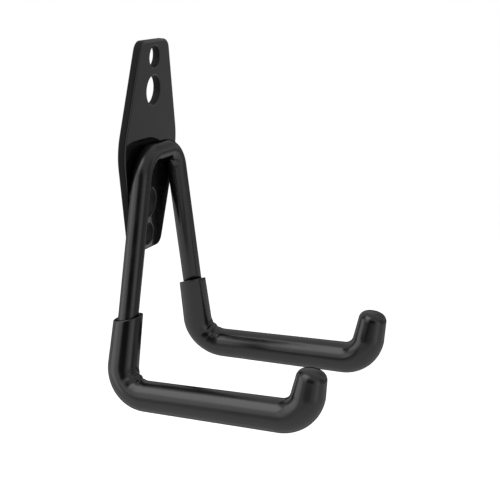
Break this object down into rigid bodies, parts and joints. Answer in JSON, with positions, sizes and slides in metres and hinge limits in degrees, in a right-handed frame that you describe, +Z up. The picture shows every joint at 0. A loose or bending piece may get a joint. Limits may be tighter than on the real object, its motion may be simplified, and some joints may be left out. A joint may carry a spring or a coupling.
{
  "type": "helmet wall hook",
  "caption": "Wall hook for a helmet: a six-sided screw-on plate holds one bent rod with splayed legs and two forward arms in soft closed sleeves with upturned tips.",
  "frame": {"origin": "middle of the plate's wall face, half way between the upper and lower screw holes", "axes": "+Z up along the wall, +Y into the wall, so the arms reach out towards -Y, +X across the two arms"},
  "size_m": [0.0668, 0.0727, 0.1052],
  "materials": {
    "black_coat": "satin black powder coat on steel",
    "sleeve_plastic": "semi-gloss black dipped soft plastic"
  },
  "bodies": {
    "root": {"wall_plate": "black_coat", "hook_rod": "black_coat", "weld_bead": "black_coat", "left_sleeve": "sleeve_plastic", "right_sleeve": "sleeve_plastic"}
  },
  "joints": []
}
